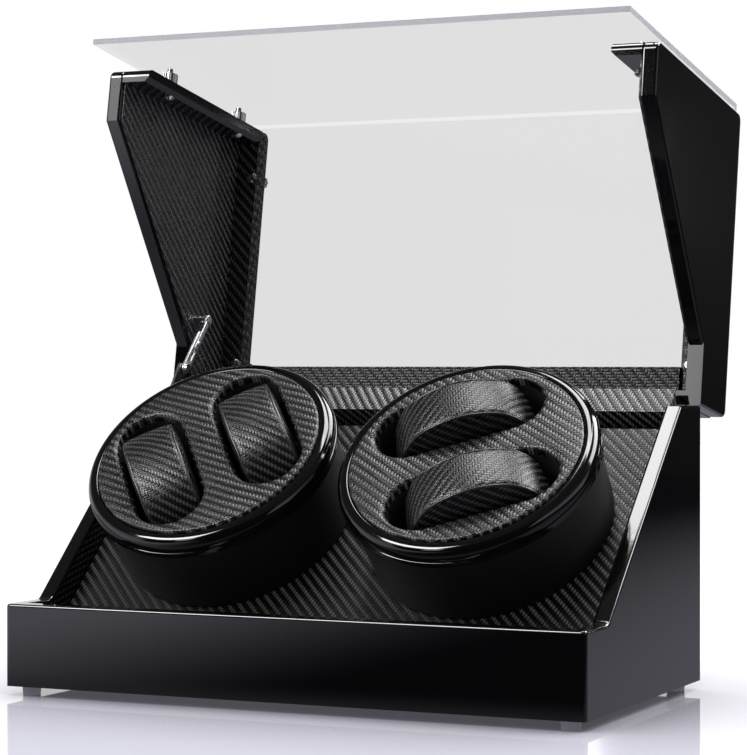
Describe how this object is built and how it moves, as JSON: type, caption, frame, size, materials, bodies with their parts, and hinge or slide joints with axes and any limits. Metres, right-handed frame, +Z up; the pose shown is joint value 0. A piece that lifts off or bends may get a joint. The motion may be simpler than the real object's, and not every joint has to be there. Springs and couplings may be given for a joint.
{
  "type": "watch winder box",
  "caption": "Lacquered box with a sloping leather deck, geared turntables that hold lift-out watch cushions, and a hinged lid with clear panes on a stay.",
  "frame": {"origin": "centre of the open box's outline on the plane its feet stand on", "axes": "+Z up, +X to the right of a person facing the box, the front towards -Y"},
  "size_m": [0.33, 0.2678, 0.36],
  "materials": {
    "lacquer": "black piano lacquer",
    "twill_leather": "embossed twill grain",
    "gloss_black": "high gloss black",
    "matte_black": "moulded black",
    "nylon": "moulded white",
    "zinc": "zinc plated",
    "steel": "turned",
    "bronze": "sintered bearing metal",
    "chrome": "polished",
    "clear": "clear polished sheet",
    "rubber": "soft feet",
    "circuit": "solder mask",
    "lining_cloth": "fine twill grain"
  },
  "bodies": {
    "base": {"base_bottom_board": "lacquer", "front_panel": "lacquer", "back_panel": "lacquer", "left_side_panel": "lacquer", "right_side_panel": "lacquer", "drum_deck": "twill_leather", "rear_strip": "twill_leather", "rubber_feet": "rubber", "left_shaft_bush": "bronze", "right_shaft_bush": "bronze", "left_motor_bracket": "zinc", "right_motor_bracket": "zinc", "left_gear_motor": "steel", "right_gear_motor": "steel", "control_board": "circuit", "mode_switches": "matte_black", "dc_inlet": "matte_black", "hinge_base_leaves": "chrome", "hinge_pins": "steel", "stay_bracket": "chrome"},
    "lid": {"lid_left_cheek": "lacquer", "lid_right_cheek": "lacquer", "lid_back_panel": "lacquer", "lid_rear_rail": "lacquer", "left_top_flange": "twill_leather", "right_top_flange": "twill_leather", "left_front_flange": "lacquer", "right_front_flange": "lacquer", "left_cheek_lining": "lining_cloth", "right_cheek_lining": "lining_cloth", "top_pane": "clear", "front_pane": "clear", "pane_screws": "chrome", "pane_spacers": "chrome", "hinge_lid_leaves": "chrome", "stay_stud": "chrome"},
    "stay": {"stay_arm": "chrome"},
    "left_drum": {"left_drum_shell": "gloss_black", "left_drum_rim": "gloss_black", "left_drum_face": "twill_leather", "left_pocket_tray": "matte_black", "left_drum_shaft": "steel", "left_drum_gear": "nylon"},
    "left_pinion": {"left_drive_pinion": "nylon"},
    "left_pillow_a": {"left_cushion_a": "lining_cloth"},
    "left_pillow_b": {"left_cushion_b": "lining_cloth"},
    "left_knob": {"left_mode_knob": "matte_black"},
    "right_drum": {"right_drum_shell": "gloss_black", "right_drum_rim": "gloss_black", "right_drum_face": "twill_leather", "right_pocket_tray": "matte_black", "right_drum_shaft": "steel", "right_drum_gear": "nylon"},
    "right_pinion": {"right_drive_pinion": "nylon"},
    "right_pillow_a": {"right_cushion_a": "lining_cloth"},
    "right_pillow_b": {"right_cushion_b": "lining_cloth"},
    "right_knob": {"right_mode_knob": "matte_black"}
  },
  "joints": [
    {"name": "lid_hinge", "type": "hinge", "parent": "base", "child": "lid", "pos_m": [0, 0.04614, 0.15505], "axis": [-1, 0, 0], "range_deg": [-100, 0]},
    {"name": "stay_pivot", "type": "hinge", "parent": "base", "child": "stay", "pos_m": [-0.147, 0.03238, 0.17471], "axis": [-1, 0, 0], "range_deg": [-156.07, 0]},
    {"name": "left_drum_spin", "type": "hinge", "parent": "base", "child": "left_drum", "pos_m": [-0.07569, -0.0342, 0.09083], "axis": [0, -0.6769, 0.7361], "continuous": true},
    {"name": "left_pinion_spin", "type": "hinge", "parent": "base", "child": "left_pinion", "pos_m": [-0.03819, -0.0342, 0.09083], "axis": [0, -0.6769, 0.7361], "continuous": true},
    {"name": "left_pillow_a_lift", "type": "slide", "parent": "left_drum", "child": "left_pillow_a", "axis": [0, -0.6769, 0.7361], "range_m": [0, 0.06]},
    {"name": "left_pillow_b_lift", "type": "slide", "parent": "left_drum", "child": "left_pillow_b", "axis": [0, -0.6769, 0.7361], "range_m": [0, 0.06]},
    {"name": "left_knob_turn", "type": "hinge", "parent": "base", "child": "left_knob", "pos_m": [0.095, 0.04614, 0.067], "axis": [0, 1, 0], "range_deg": [0, 240]},
    {"name": "right_drum_spin", "type": "hinge", "parent": "base", "child": "right_drum", "pos_m": [0.07569, -0.0342, 0.09083], "axis": [0, -0.6769, 0.7361], "continuous": true},
    {"name": "right_pinion_spin", "type": "hinge", "parent": "base", "child": "right_pinion", "pos_m": [0.03819, -0.0342, 0.09083], "axis": [0, -0.6769, 0.7361], "continuous": true},
    {"name": "right_pillow_a_lift", "type": "slide", "parent": "right_drum", "child": "right_pillow_a", "axis": [0, -0.6769, 0.7361], "range_m": [0, 0.06]},
    {"name": "right_pillow_b_lift", "type": "slide", "parent": "right_drum", "child": "right_pillow_b", "axis": [0, -0.6769, 0.7361], "range_m": [0, 0.06]},
    {"name": "right_knob_turn", "type": "hinge", "parent": "base", "child": "right_knob", "pos_m": [0.129, 0.04614, 0.067], "axis": [0, 1, 0], "range_deg": [0, 240]}
  ],
  "couplings": [
    {"joint": "stay_pivot", "follows": "lid_hinge", "ratio": 1.5601},
    {"joint": "left_pinion_spin", "follows": "left_drum_spin", "ratio": -4},
    {"joint": "right_pinion_spin", "follows": "right_drum_spin", "ratio": -4}
  ]
}
